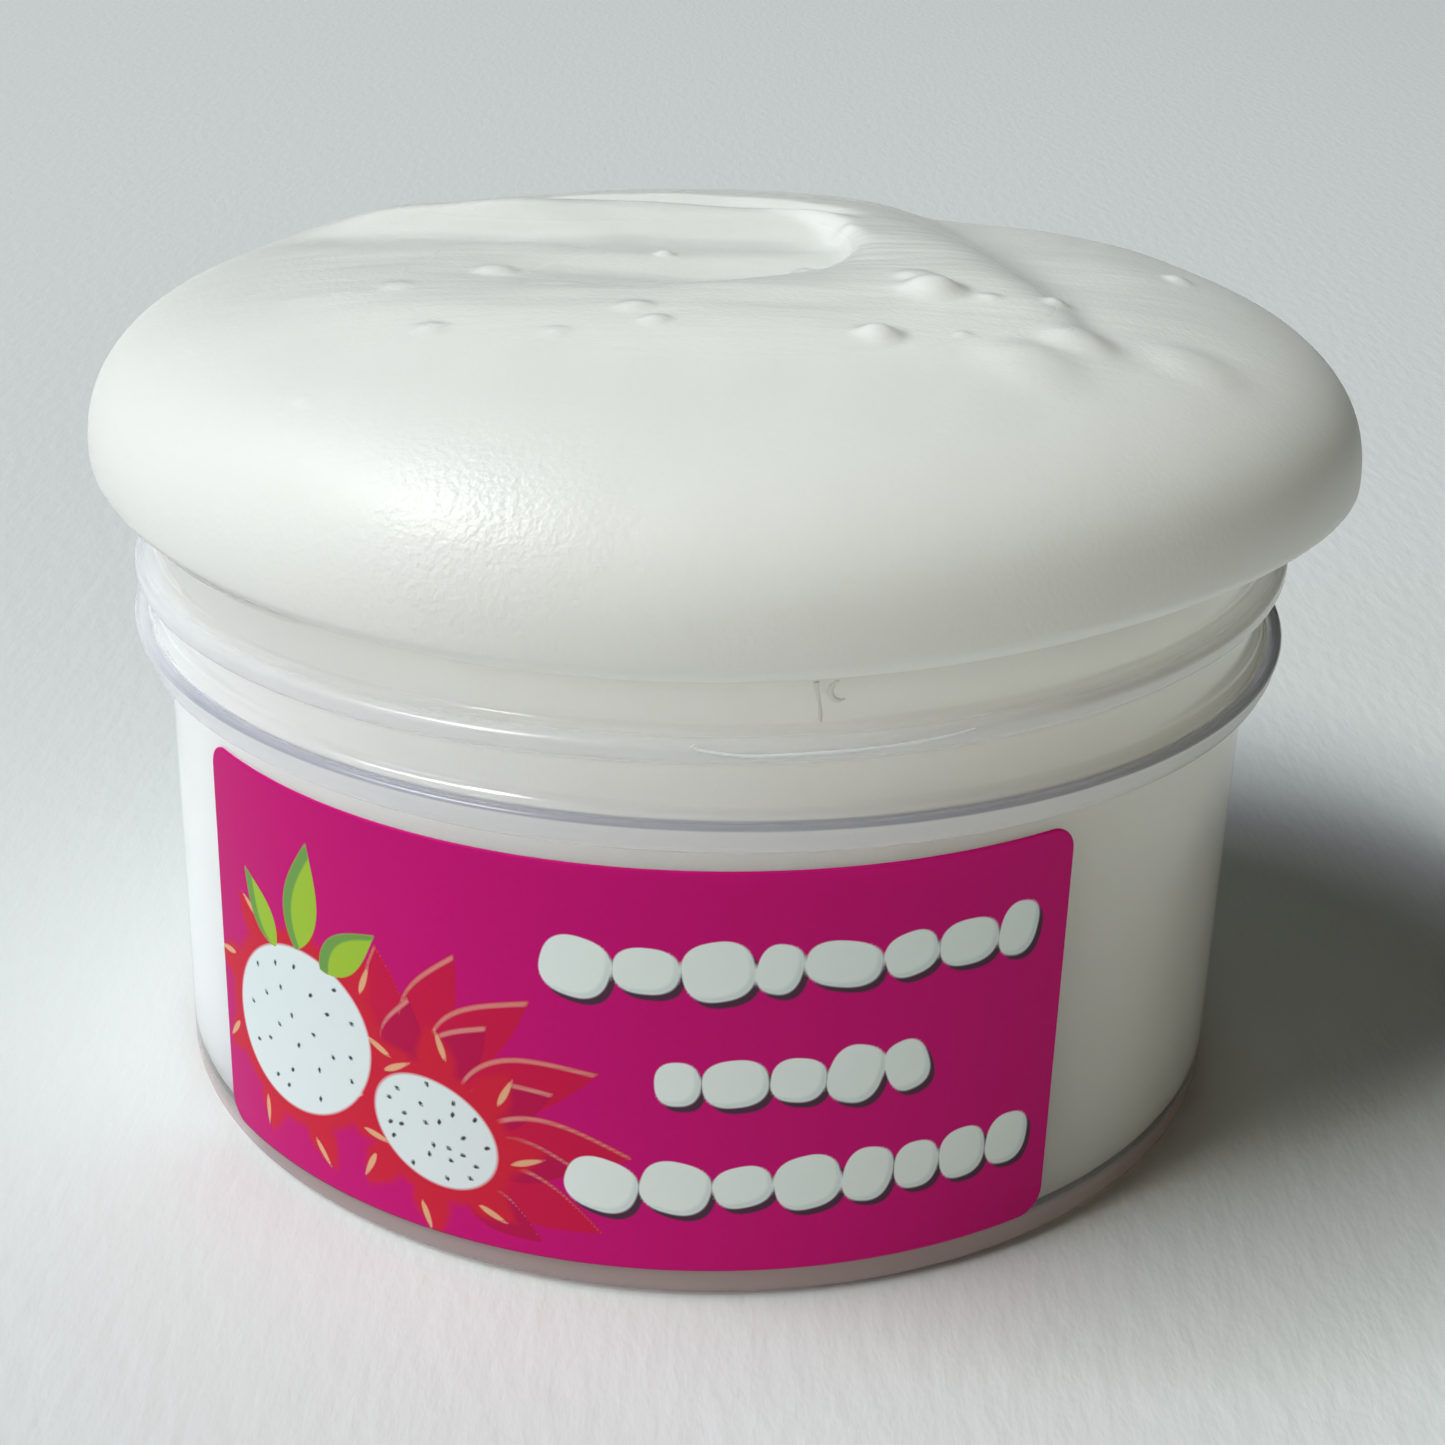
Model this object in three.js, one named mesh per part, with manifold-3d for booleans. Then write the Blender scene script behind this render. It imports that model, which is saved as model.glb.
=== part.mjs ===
// Open screw-neck jar heaped with marshmallow fluff, with a printed label on its front.
// Millimetres, +Z up. The origin is the centre of the jar's flat underside, and the
// label faces -Y. Angles around the jar are measured from +X towards +Y.

import * as THREE from 'three';
import { mergeVertices } from 'three/addons/utils/BufferGeometryUtils.js';
import Module from 'manifold-3d';

const wasm = await Module();
wasm.setup();

// Driving dimensions

const jar = {
  bodyRadius: 42.75,
  wall: 1.25,
  floor: 2.0,
  heelRadius: 1.0,
  innerHeelRadius: 2.5,
  collarTop: 38.5,
  collarRadius: 45.2,
  collarThickness: 2.2,
  collarTaper: 0.5,
  collarChamfer: 0.3,
  collarDraft: 0.4,
  neckRadius: 43.35,
  neckRootRadius: 0.5,
  neckHeight: 14.0,
  rimRadius: 0.6,
};

// The ridge passes `frontAngle` at `crestHeightAtFront` and is sunk into the neck by `sunk`.
const thread = {
  crestRadius: 44.9,
  crestHeightAtFront: 43.5,
  frontAngle: -90,
  crestFlat: 0.6,
  aboveCrest: 1.5,
  belowCrest: 1.8,
  sunk: 0.6,
  lead: 5.6,
  startAngle: -250,
  endAngle: 240,
  fade: 22,
};

const fluff = {
  radius: 47.3,
  stretch: 2.4,
  stretchAngle: 26,
  shiftX: 1.7,
  shiftY: 0.9,
  waist: 50.4,
  waistTilt: -1.5,
  waistSag: 0.9,
  waistTwist: -1.1,
  top: 64.8,
  shoulderPower: 3.4,
  crownPower: 2.4,
  rowPower: 2.2,
  lipDrop: 1.6,
  reliefDepth: 2,
  clearance: 0.3,
};

// A folded dollop lies on the crown as a raised patch with a groove along its front.
const fold = {
  x: -8.5,
  y: 9.0,
  length: 21.5,
  width: 14.5,
  angle: 12,
  height: 1.5,
  power: 2.6,
  edge: 1.3,
  grooveDepth: 0.6,
  grooveWidth: 2.2,
};

// A long crease runs back to front over the right of the crown.
const crease = {
  x: 26.5,
  y: -20,
  bow: 0.00575,
  drop: 1.0,
  edge: 1.3,
  recovery: 11,
  middleY: -4,
  fade: 26,
};

// Broad swellings left by trapped air: place on the crown, radius and height.
const swellings = [
  { x: 16, y: -7, radius: 2.6, height: 0.7 },
  { x: 25, y: -20, radius: 3.2, height: 0.6 },
  { x: 20, y: -27, radius: 3.6, height: 0.5 },
  { x: 31.5, y: -24.5, radius: 3.6, height: 0.5 },
];

const label = {
  width: 69.4,
  height: 31.75,
  bottom: 2.35,
  centreAngle: -100.0,
  tilt: 0.4,
  cornerRadius: 2.0,
  thickness: 0.25,
  gap: 0.12,
};

const jarSegments = 72;
const fluffSegments = 72;
const crownRows = 24;
const lipRows = 4;
const labelColumns = 34;
const cornerSteps = 4;

const rimHeight = jar.collarTop + jar.neckHeight;
const boreRadius = jar.bodyRadius - jar.wall;
const radians = THREE.MathUtils.degToRad;

// Shared builders

// Points on an arc in the (radius, height) plane, angles in degrees.
function arc(centreR, centreZ, radius, from, to, steps = cornerSteps) {
  return Array.from({ length: steps + 1 }, (_, i) => {
    const angle = radians(from + ((to - from) * i) / steps);
    return new THREE.Vector2(centreR + radius * Math.cos(angle), centreZ + radius * Math.sin(angle));
  });
}

// A solid of revolution about +Z from a profile of (radius, height) points.
function turned(profile, segments) {
  return new THREE.LatheGeometry(profile, segments).rotateX(Math.PI / 2);
}

// A closed solid through rings that all have the same number of points.
// Each end is closed by a fan around the middle of its ring.
function throughRings(rings) {
  const count = rings[0].length;
  const middle = (ring) =>
    ring.reduce((sum, point) => sum.add(point), new THREE.Vector3()).divideScalar(count);
  const points = [...rings.flat(), middle(rings[0]), middle(rings.at(-1))];
  const [firstEnd, lastEnd] = [points.length - 2, points.length - 1];
  const index = [];
  for (let i = 0; i < rings.length - 1; i += 1) {
    for (let j = 0; j < count; j += 1) {
      const a = i * count + j;
      const b = i * count + ((j + 1) % count);
      index.push(a, b, a + count, b, b + count, a + count);
    }
  }
  const lastRing = (rings.length - 1) * count;
  for (let j = 0; j < count; j += 1) {
    const next = (j + 1) % count;
    index.push(firstEnd, next, j);
    index.push(lastEnd, lastRing + j, lastRing + next);
  }
  const geometry = new THREE.BufferGeometry().setFromPoints(points);
  geometry.setIndex(index);
  return geometry;
}

function toSolid(geometry) {
  const plain = geometry.clone();
  plain.deleteAttribute('normal');
  plain.deleteAttribute('uv');
  const merged = mergeVertices(plain, 1e-4);
  const triangles = [];
  const { array } = merged.index;
  for (let i = 0; i < array.length; i += 3) {
    const [a, b, c] = array.slice(i, i + 3);
    if (a !== b && b !== c && c !== a) triangles.push(a, b, c);
  }
  const build = (triVerts) =>
    new wasm.Manifold(
      new wasm.Mesh({
        numProp: 3,
        vertProperties: new Float32Array(merged.attributes.position.array),
        triVerts: new Uint32Array(triVerts),
      }),
    );
  const solid = build(triangles);
  return solid.volume() > 0 ? solid : build(triangles.reverse());
}

function toGeometry(solid) {
  const { vertProperties, triVerts } = solid.getMesh();
  const geometry = new THREE.BufferGeometry();
  geometry.setAttribute('position', new THREE.BufferAttribute(vertProperties, 3));
  geometry.setIndex(new THREE.BufferAttribute(triVerts, 1));
  geometry.computeVertexNormals();
  return geometry;
}

// Jar

// Half section of the jar: up the outside, over the rim, down the bore and in to the axis.
function jarProfile() {
  const collarUnderside = jar.collarTop - jar.collarThickness;
  const innerHeel = jar.innerHeelRadius;
  return [
    new THREE.Vector2(0, 0),
    ...arc(jar.bodyRadius - jar.heelRadius, jar.heelRadius, jar.heelRadius, -90, 0),
    new THREE.Vector2(jar.bodyRadius, collarUnderside - jar.collarDraft),
    new THREE.Vector2(jar.collarRadius - jar.collarTaper, collarUnderside),
    new THREE.Vector2(jar.collarRadius, jar.collarTop - jar.collarChamfer),
    new THREE.Vector2(jar.collarRadius - jar.collarChamfer, jar.collarTop),
    ...arc(
      jar.neckRadius + jar.neckRootRadius,
      jar.collarTop + jar.neckRootRadius,
      jar.neckRootRadius,
      -90,
      -180,
    ),
    ...arc(jar.neckRadius - jar.rimRadius, rimHeight - jar.rimRadius, jar.rimRadius, 0, 90),
    ...arc(boreRadius + jar.rimRadius, rimHeight - jar.rimRadius, jar.rimRadius, 90, 180),
    ...arc(boreRadius - innerHeel, jar.floor + innerHeel, innerHeel, 0, -90),
    new THREE.Vector2(0, jar.floor),
  ];
}

// The screw thread: a ridge on a helix that sinks into the neck at both ends.
// `extra` grows it on every side, for the groove that it leaves in the fluff.
function threadRidge(extra = 0) {
  const turn = thread.endAngle - thread.startAngle;
  const steps = Math.round((turn * jarSegments) / 360);
  const root = jar.neckRadius - thread.sunk;
  const halfFlat = thread.crestFlat / 2 + extra;
  return throughRings(
    Array.from({ length: steps + 1 }, (_, i) => {
      const angle = thread.startAngle + (turn * i) / steps;
      const fromEnd = Math.min(angle - thread.startAngle, thread.endAngle - angle);
      const rise = Math.sin((Math.PI / 2) * Math.min(1, fromEnd / thread.fade));
      const lowestCrest = root + thread.sunk / 2;
      const crest = lowestCrest + (thread.crestRadius + extra - lowestCrest) * rise;
      const height = thread.crestHeightAtFront + (thread.lead * (angle - thread.frontAngle)) / 360;
      const below = thread.belowCrest + extra;
      const section = [
        [root, height - below],
        [(root + crest) / 2, height - (below + halfFlat) / 2],
        [crest, height - halfFlat],
        [crest, height + halfFlat],
        [root, height + thread.aboveCrest + extra],
      ];
      const direction = radians(angle);
      return section.map(
        ([r, z]) => new THREE.Vector3(r * Math.cos(direction), r * Math.sin(direction), z),
      );
    }),
  );
}

function jarSolid() {
  return toSolid(turned(jarProfile(), jarSegments)).add(toSolid(threadRidge()));
}

// Marshmallow fluff

// Raised fold, groove, crease and swellings on the crown, as a height over (x, y).
function relief(x, y) {
  const turn = radians(fold.angle);
  const along = (x - fold.x) * Math.cos(turn) + (y - fold.y) * Math.sin(turn);
  const across = (y - fold.y) * Math.cos(turn) - (x - fold.x) * Math.sin(turn);
  const reach =
    (Math.abs(along / fold.length) ** fold.power + Math.abs(across / fold.width) ** fold.power) **
    (1 / fold.power);
  const outside = (reach - 1) * fold.width;
  const patch = fold.height / (1 + Math.exp(outside / fold.edge));
  const front = THREE.MathUtils.smoothstep(-across, 0, fold.width);
  const groove =
    fold.grooveDepth * front * Math.exp(-(((outside - fold.grooveWidth) / fold.grooveWidth) ** 2));

  const pastCrease = x - (crease.x - crease.bow * (y - crease.y) ** 2);
  const ledge =
    (crease.drop * Math.exp(-Math.max(0, pastCrease) / crease.recovery)) /
    (1 + Math.exp(-pastCrease / crease.edge));
  const creaseFade = Math.exp(-(((y - crease.middleY) / crease.fade) ** 4));

  const bumps = swellings.reduce((sum, bump) => {
    const distance = Math.hypot(x - bump.x, y - bump.y) / bump.radius;
    return sum + bump.height * Math.exp(-(distance ** 2));
  }, 0);
  return patch - groove - ledge * creaseFade + bumps;
}

// The widest ring of the cap: its radius and height change round the jar.
function waistAt(angle) {
  const radius =
    fluff.radius +
    fluff.stretch * Math.cos(2 * (angle - radians(fluff.stretchAngle))) +
    fluff.shiftX * Math.cos(angle) +
    fluff.shiftY * Math.sin(angle);
  const height =
    fluff.waist +
    fluff.waistTilt * Math.cos(angle) +
    fluff.waistSag * Math.cos(2 * angle) +
    fluff.waistTwist * Math.sin(2 * angle);
  return { radius, height };
}

// One ring of the fluff; `at` gives (radius, height) for the waist found at each angle.
function ringOf(at) {
  return Array.from({ length: fluffSegments }, (_, j) => {
    const angle = (2 * Math.PI * j) / fluffSegments;
    const [r, z] = at(waistAt(angle));
    return new THREE.Vector3(r * Math.cos(angle), r * Math.sin(angle), z);
  });
}

// Cap and filling as one body: crown, rolled lip, and the stem that fills the jar.
function fluffGeometry() {
  const stemRadius = boreRadius - fluff.clearance;
  const stemFoot = jar.floor + fluff.clearance;
  const skirtRadius = jar.neckRadius + fluff.clearance;
  const heel = jar.innerHeelRadius;
  const rings = [];
  for (const { x, y } of arc(stemRadius - heel, stemFoot + heel, heel, -90, 0)) {
    rings.push(ringOf(() => [x, y]));
  }
  rings.push(ringOf(({ height }) => [stemRadius, height - fluff.lipDrop]));
  for (let i = 0; i < lipRows; i += 1) {
    const angle = (Math.PI / 2) * (1 - i / lipRows);
    rings.push(
      ringOf(({ radius, height }) => [
        skirtRadius + (radius - skirtRadius) * Math.cos(angle),
        height - fluff.lipDrop * Math.sin(angle),
      ]),
    );
  }
  for (let i = crownRows; i > 0; i -= 1) {
    const reach = 1 - (1 - i / crownRows) ** fluff.rowPower;
    const lift = (1 - reach ** fluff.shoulderPower) ** (1 / fluff.crownPower);
    rings.push(ringOf(({ radius, height }) => [radius * reach, height + (fluff.top - height) * lift]));
  }
  for (const ring of rings.slice(-crownRows)) {
    for (const point of ring) {
      const onCrown = THREE.MathUtils.smoothstep(point.z, fluff.waist, fluff.top - fluff.reliefDepth);
      point.z += relief(point.x, point.y) * onCrown;
    }
  }
  return throughRings(rings);
}

// The fluff hangs over the rim: the neck, with a clearance, is cut out of it.
function fluffSolid() {
  const { clearance } = fluff;
  const inner = boreRadius - clearance;
  const outer = jar.neckRadius + clearance;
  const top = rimHeight + clearance;
  const section = [
    [inner, jar.collarTop],
    [outer, jar.collarTop],
    [outer, top],
    [inner, top],
    [inner, jar.collarTop],
  ];
  const sleeve = turned(section.map(([r, z]) => new THREE.Vector2(r, z)), jarSegments);
  return toSolid(fluffGeometry()).subtract(toSolid(sleeve)).subtract(toSolid(threadRidge(clearance)));
}

// Label

// The label is a thin sheet bent round the body, taken as upright sections along its width.
function labelGeometry() {
  const innerRadius = jar.bodyRadius + label.gap;
  const outerRadius = innerRadius + label.thickness;
  const { cornerRadius } = label;
  const corner = Array.from({ length: cornerSteps + 1 }, (_, i) =>
    cornerRadius * (1 - Math.cos((Math.PI / 2) * (i / cornerSteps))),
  );
  const straight = label.width - 2 * cornerRadius;
  const inside = Array.from(
    { length: labelColumns - 1 },
    (_, i) => cornerRadius + (straight * (i + 1)) / labelColumns,
  );
  const stations = [...corner, ...inside, ...corner.map((s) => label.width - s).reverse()];
  const rings = stations.map((station) => {
    const fromEnd = Math.min(station, label.width - station, cornerRadius);
    const inset = cornerRadius - Math.sqrt(Math.max(0, cornerRadius ** 2 - (cornerRadius - fromEnd) ** 2));
    const along = station - label.width / 2;
    const angle = radians(label.centreAngle) + along / innerRadius;
    const low = label.bottom + along * Math.tan(radians(label.tilt)) + inset;
    const high = low + label.height - 2 * inset;
    return [
      [innerRadius, low],
      [outerRadius, low],
      [outerRadius, high],
      [innerRadius, high],
    ].map(([r, z]) => new THREE.Vector3(r * Math.cos(angle), r * Math.sin(angle), z));
  });
  return throughRings(rings);
}

// Scene graph

const clearPlastic = new THREE.MeshStandardMaterial({
  color: '#dfe3e2',
  roughness: 0.25,
  metalness: 0,
  transparent: true,
  opacity: 0.45,
});
const whiteFluff = new THREE.MeshStandardMaterial({ color: '#eeefec', roughness: 0.4, metalness: 0 });
const printedPaper = new THREE.MeshStandardMaterial({ color: '#b81d6c', roughness: 0.5, metalness: 0 });

function piece(name, geometry, material) {
  const mesh = new THREE.Mesh(geometry, material);
  mesh.name = name;
  return mesh;
}

const group = new THREE.Group();
group.add(piece('jar', toGeometry(jarSolid()), clearPlastic));
group.add(piece('mallow', toGeometry(fluffSolid()), whiteFluff));
group.add(piece('label', toGeometry(toSolid(labelGeometry())), printedPaper));

export default group;
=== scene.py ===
# An open screw-neck jar heaped with marshmallow fluff, standing on a pale table.
# Metres in the scene; sizes in the dictionaries are millimetres and angles are degrees.
# +Z is up and the label faces -Y.

import bpy
import numpy as np
from mathutils import Matrix, Vector


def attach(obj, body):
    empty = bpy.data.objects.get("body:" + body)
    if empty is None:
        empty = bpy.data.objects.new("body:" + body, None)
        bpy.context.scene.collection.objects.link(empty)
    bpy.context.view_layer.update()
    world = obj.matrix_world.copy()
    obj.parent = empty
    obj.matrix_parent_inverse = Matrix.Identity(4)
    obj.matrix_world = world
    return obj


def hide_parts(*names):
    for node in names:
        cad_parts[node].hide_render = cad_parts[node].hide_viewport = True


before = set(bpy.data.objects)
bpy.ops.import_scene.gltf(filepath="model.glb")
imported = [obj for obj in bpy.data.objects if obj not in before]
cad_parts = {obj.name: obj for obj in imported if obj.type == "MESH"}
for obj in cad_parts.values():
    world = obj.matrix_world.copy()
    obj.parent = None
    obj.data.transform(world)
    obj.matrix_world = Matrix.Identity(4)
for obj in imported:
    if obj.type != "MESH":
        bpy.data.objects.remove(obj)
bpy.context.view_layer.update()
mm = 0.001
print("frame loaded:", ", ".join(sorted(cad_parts)))

# shared helpers


def linear(hexColour):
    # sRGB hex to linear RGBA
    channels = np.array([int(hexColour[i : i + 2], 16) for i in (1, 3, 5)]) / 255
    low = channels / 12.92
    high = ((channels + 0.055) / 1.055) ** 2.4
    return (*np.where(channels <= 0.04045, low, high), 1.0)


def addNode(tree, kind, inputs=None, **settings):
    # a node with its settings; an input is a value or the socket that feeds it
    node = tree.nodes.new(kind)
    for key, value in settings.items():
        setattr(node, key, value)
    for socket, value in (inputs or {}).items():
        if isinstance(value, bpy.types.NodeSocket):
            tree.links.new(value, node.inputs[socket])
        else:
            node.inputs[socket].default_value = value
    return node


def newMaterial(name):
    # an empty material and its node tree
    material = bpy.data.materials.new(name)
    material.use_nodes = True
    material.node_tree.nodes.clear()
    return material, material.node_tree


def newObject(name, data):
    # an object in the scene, at the origin
    made = bpy.data.objects.new(name, data)
    bpy.context.scene.collection.objects.link(made)
    return made


def placeFacing(across, upward, backward, spot):
    # the matrix that turns an object's x, y and z to three directions and stands it at a spot in metres
    place = Matrix((across, upward, backward)).transposed().to_4x4()
    place.translation = spot
    return place


def smooth(value, low, high):
    # 0 below low, 1 above high, and 3t^2 - 2t^3 between
    t = np.clip((value - low) / (high - low), 0, 1)
    return t * t * (3 - 2 * t)


def span(value, low, high, fade):
    # 1 between low and high, with soft ends a fade wide to each side of them
    return smooth(value, low - fade, low + fade) * (1 - smooth(value, high - fade, high + fade))


def bell(offset, width):
    # e to the power of -(offset / width)^2
    return np.exp(-((offset / width) ** 2))


def sigmoid(value):
    # 1 / (1 + e^-value), held where the power would overflow
    return 1 / (1 + np.exp(np.clip(-value, -40, 40)))


def blend(ends, share):
    # from the first end at a share of 0 to the second at 1
    return ends[0] + (ends[1] - ends[0]) * share


def waves(x, y, length, count, seed):
    # a sum of sine waves of about one length, with seeded directions and phases, from -1 to 1
    draw = np.random.default_rng(seed)
    angles, phases = draw.uniform(0, np.pi, count), draw.uniform(0, 2 * np.pi, count)
    total = np.zeros_like(x)
    for angle, phase, stretch in zip(angles, phases, draw.uniform(0.8, 1.3, count)):
        turns = 2 * np.pi / (length * stretch)
        total += np.sin(turns * (x * np.cos(angle) + y * np.sin(angle)) + phase)
    return total / count


def arcPoints(centreR, centreZ, radius, start, end, steps):
    # points of an arc in the (radius, height) plane, from one angle to another
    angle = np.radians(np.linspace(start, end, steps + 1))
    return np.stack([centreR + radius * np.cos(angle), centreZ + radius * np.sin(angle)], -1)


def climb(r, low, high, step):
    # points of an upright line at radius r, about a step apart, without its ends
    z = np.linspace(low, high, max(2, int(round(abs(high - low) / step))) + 1)[1:-1]
    return np.stack([np.full_like(z, r), z], -1)


def roundMesh(name, grid):
    # grid[row, column] holds points in mm; columns close round, and a point closes each end
    rows, columns, _ = grid.shape
    poles = [grid[0].mean(0), grid[-1].mean(0)]
    points = np.vstack([grid.reshape(-1, 3), poles]) * mm
    here = np.arange(rows * columns).reshape(rows, columns)
    right = np.roll(here, -1, 1)
    quads = np.stack([here[:-1], right[:-1], right[1:], here[1:]], -1).reshape(-1, 4)
    bottom, top = rows * columns, rows * columns + 1
    lowFan = np.stack([right[0], here[0], np.full(columns, bottom)], -1)
    highFan = np.stack([here[-1], right[-1], np.full(columns, top)], -1)
    mesh = bpy.data.meshes.new(name)
    mesh.from_pydata(points.tolist(), [], [*quads.tolist(), *lowFan.tolist(), *highFan.tolist()])
    mesh.shade_smooth()
    return newObject(name, mesh)


# camera: a little above the jar, looking down on its front

cameraSetup = {
    "position": (0.0, -186.28, 109.14),
    "yaw": 0.407,
    "pitch": 24.144,
    "roll": 1.741,
    "lens": 61.545,
    "sensor": 36.0,
    "nearest": 10.0,  # nothing nearer than this is drawn
}


def makeCamera(setup):
    # looks along (sin yaw cos pitch, cos yaw cos pitch, -sin pitch), then rolls about that line
    yaw, pitch, roll = np.radians([setup["yaw"], setup["pitch"], setup["roll"]])
    ahead = Vector((np.sin(yaw) * np.cos(pitch), np.cos(yaw) * np.cos(pitch), -np.sin(pitch)))
    level = Vector((np.cos(yaw), -np.sin(yaw), 0))
    across = level * np.cos(roll) + level.cross(ahead) * np.sin(roll)
    data = bpy.data.cameras.new("camera")
    data.lens = setup["lens"]
    data.sensor_width = setup["sensor"]
    data.clip_start = setup["nearest"] * mm
    camera = newObject("camera", data)
    spot = Vector(setup["position"]) * mm
    camera.matrix_world = placeFacing(across, across.cross(ahead), -ahead, spot)
    bpy.context.scene.camera = camera


makeCamera(cameraSetup)
print("camera placed")

# jar

jar = {
    "bodyRadius": 42.75,
    "wall": 1.25,
    "floor": 2.0,
    "heelRadius": 1.0,
    "innerHeelRadius": 2.5,
    "collarTop": 38.5,
    "collarRadius": 45.2,
    "collarThickness": 2.2,
    "collarTaper": 0.5,
    "collarEdgeRadius": 0.35,
    # from the corner of body and collar: out, up
    "collarFillet": [(0.0, -0.4), (0.25, -0.12), (0.6, 0.0)],
    "neckRadius": 43.35,
    "neckRootRadius": 1.0,
    "neckHeight": 14.0,
    "rimRadius": 0.6,
    "poleRadius": 2.0,  # the innermost ring of each floor
    "columns": 300,
    "wallStep": 1.5,
    "collarStep": 0.5,
    "neckStep": 0.16,
    "floorPoints": 12,
    "shelfPoints": 6,
    "arcSteps": {"heel": 8, "collarFoot": 5, "collarEdge": 6, "neckRoot": 5, "rim": 6, "innerHeel": 10},
}
thread = {
    "crestRadius": 44.9,
    "crestHeightAtFront": 43.5,
    "frontAngle": -90,
    "crestFlat": 0.6,
    "aboveCrest": 1.5,
    "belowCrest": 1.8,
    "lead": 5.6,
    "startAngle": -250,
    "endAngle": 240,
    "fade": 22,
    "aboveCollar": 0.4,  # the neck below this stays plain
}
rimHeight = jar["collarTop"] + jar["neckHeight"]
boreRadius = jar["bodyRadius"] - jar["wall"]


def threadHeight(angle, z):
    # the ridge on a helix: its rise over the neck at each angle and height, the highest of its
    # passes, with a flat crest, flanks that follow a half cosine, and ends that sink away
    rise = np.zeros_like(z)
    for turn in (-360, 0, 360):
        along = angle + turn
        middle = thread["crestHeightAtFront"] + thread["lead"] * (along - thread["frontAngle"]) / 360
        offset = z - middle
        half = thread["crestFlat"] / 2
        above = np.clip((offset - half) / (thread["aboveCrest"] - half), 0, 1)
        below = np.clip((-offset - half) / (thread["belowCrest"] - half), 0, 1)
        flank = 0.5 + 0.5 * np.cos(np.pi * np.maximum(above, below))
        fromEnd = np.minimum(along - thread["startAngle"], thread["endAngle"] - along) / thread["fade"]
        rise = np.maximum(rise, flank * smooth(fromEnd, 0, 1))
    return rise * (thread["crestRadius"] - jar["neckRadius"])


def jarProfile():
    # the half section (radius, height): out over the underside, up the outside, over the rim, down
    # the bore and in over the floor
    body, neck, collar = jar["bodyRadius"], jar["neckRadius"], jar["collarRadius"]
    heel, innerHeel, rim = jar["heelRadius"], jar["innerHeelRadius"], jar["rimRadius"]
    edge, root, taper = jar["collarEdgeRadius"], jar["neckRootRadius"], jar["collarTaper"]
    top, floor, pole = jar["collarTop"], jar["floor"], jar["poleRadius"]
    under = top - jar["collarThickness"]
    fillet = np.array(jar["collarFillet"]) + (body, under)
    steps = jar["arcSteps"]
    return np.vstack(
        [
            np.linspace((pole, 0), (body - heel, 0), jar["floorPoints"])[:-1],
            arcPoints(body - heel, heel, heel, -90, 0, steps["heel"]),
            climb(body, heel, fillet[0, 1], jar["wallStep"]),
            fillet,
            arcPoints(collar - taper - edge, under + edge, edge, -90, -10, steps["collarFoot"]),
            climb(collar - taper / 2, under + edge, top - edge, jar["collarStep"]),
            arcPoints(collar - edge, top - edge, edge, 0, 90, steps["collarEdge"]),
            np.linspace((collar - edge, top), (neck + root, top), jar["shelfPoints"])[1:-1],
            arcPoints(neck + root, top + root, root, -90, -180, steps["neckRoot"]),
            climb(neck, top + root, rimHeight - rim, jar["neckStep"]),
            arcPoints(neck - rim, rimHeight - rim, rim, 0, 90, steps["rim"]),
            arcPoints(boreRadius + rim, rimHeight - rim, rim, 100, 180, steps["rim"]),
            climb(boreRadius, rimHeight - rim, floor + innerHeel, jar["wallStep"]),
            arcPoints(boreRadius - innerHeel, floor + innerHeel, innerHeel, 0, -90, steps["innerHeel"]),
            np.linspace((boreRadius - innerHeel, floor), (pole, floor), jar["floorPoints"])[1:],
        ]
    )


def makeJarShell():
    # the half section carried round the axis; on the neck the radius grows by the thread's rise
    turn = np.linspace(0, 360, jar["columns"], endpoint=False) - 180
    profile = jarProfile()
    r, z = [np.repeat(column[:, None], len(turn), 1) for column in profile.T]
    angle = np.repeat(turn[None, :], len(profile), 0)
    hair = 0.01  # mm, more than rounding
    onNeck = (r > jar["neckRadius"] - hair) & (z > jar["collarTop"] + thread["aboveCollar"])
    onNeck &= z < rimHeight - jar["rimRadius"] + hair
    r = r + np.where(onNeck, threadHeight(angle, z), 0)
    turned = np.radians(angle)
    return roundMesh("jarShell", np.stack([r * np.cos(turned), r * np.sin(turned), z], -1))


# thin beads on the neck: azimuth, height and half width at points along each
highlightFlashLines = [
    {  # moulding flash round the crest of the thread, white as a painted highlight
        "name": "threadFlash",
        "radius": 44.93,
        "path": [
            (-90.9, 44.2, 0.04),
            (-91.2, 44.0, 0.08),
            (-90.4, 43.78, 0.1),
            (-88.8, 43.6, 0.1),
            (-86.4, 43.43, 0.1),
            (-82.4, 43.55, 0.11),
            (-76.9, 43.68, 0.1),
            (-74.0, 43.78, 0.1),
            (-70.6, 43.97, 0.09),
            (-67.0, 44.36, 0.03),
        ],
    },
    {  # a short white line under the rim that is only a painted highlight
        "name": "rimPaintedHighlight",
        "radius": 43.38,
        "path": [(-137.0, 47.4, 0.02), (-127.0, 47.6, 0.07), (-117.0, 47.8, 0.02)],
    },
]
smears = [
    {  # a run of fluff down the neck
        "name": "smearDrip",
        "radius": 43.4,
        "path": [
            (-80.9, 47.9, 0.2),
            (-80.8, 47.2, 0.14),
            (-80.5, 46.3, 0.1),
            (-80.4, 45.4, 0.14),
            (-80.3, 45.0, 0.05),
        ],
    },
    {  # a curled one beside it
        "name": "smearCurl",
        "radius": 43.4,
        "path": [
            (-78.9, 47.9, 0.08),
            (-79.6, 47.5, 0.2),
            (-79.7, 47.0, 0.22),
            (-79.3, 46.55, 0.2),
            (-78.7, 46.45, 0.12),
            (-78.3, 46.6, 0.05),
        ],
    },
]
bead = {"stepsPerPoint": 12, "sides": 8, "smoothing": 9, "depthShare": 0.5}


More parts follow.
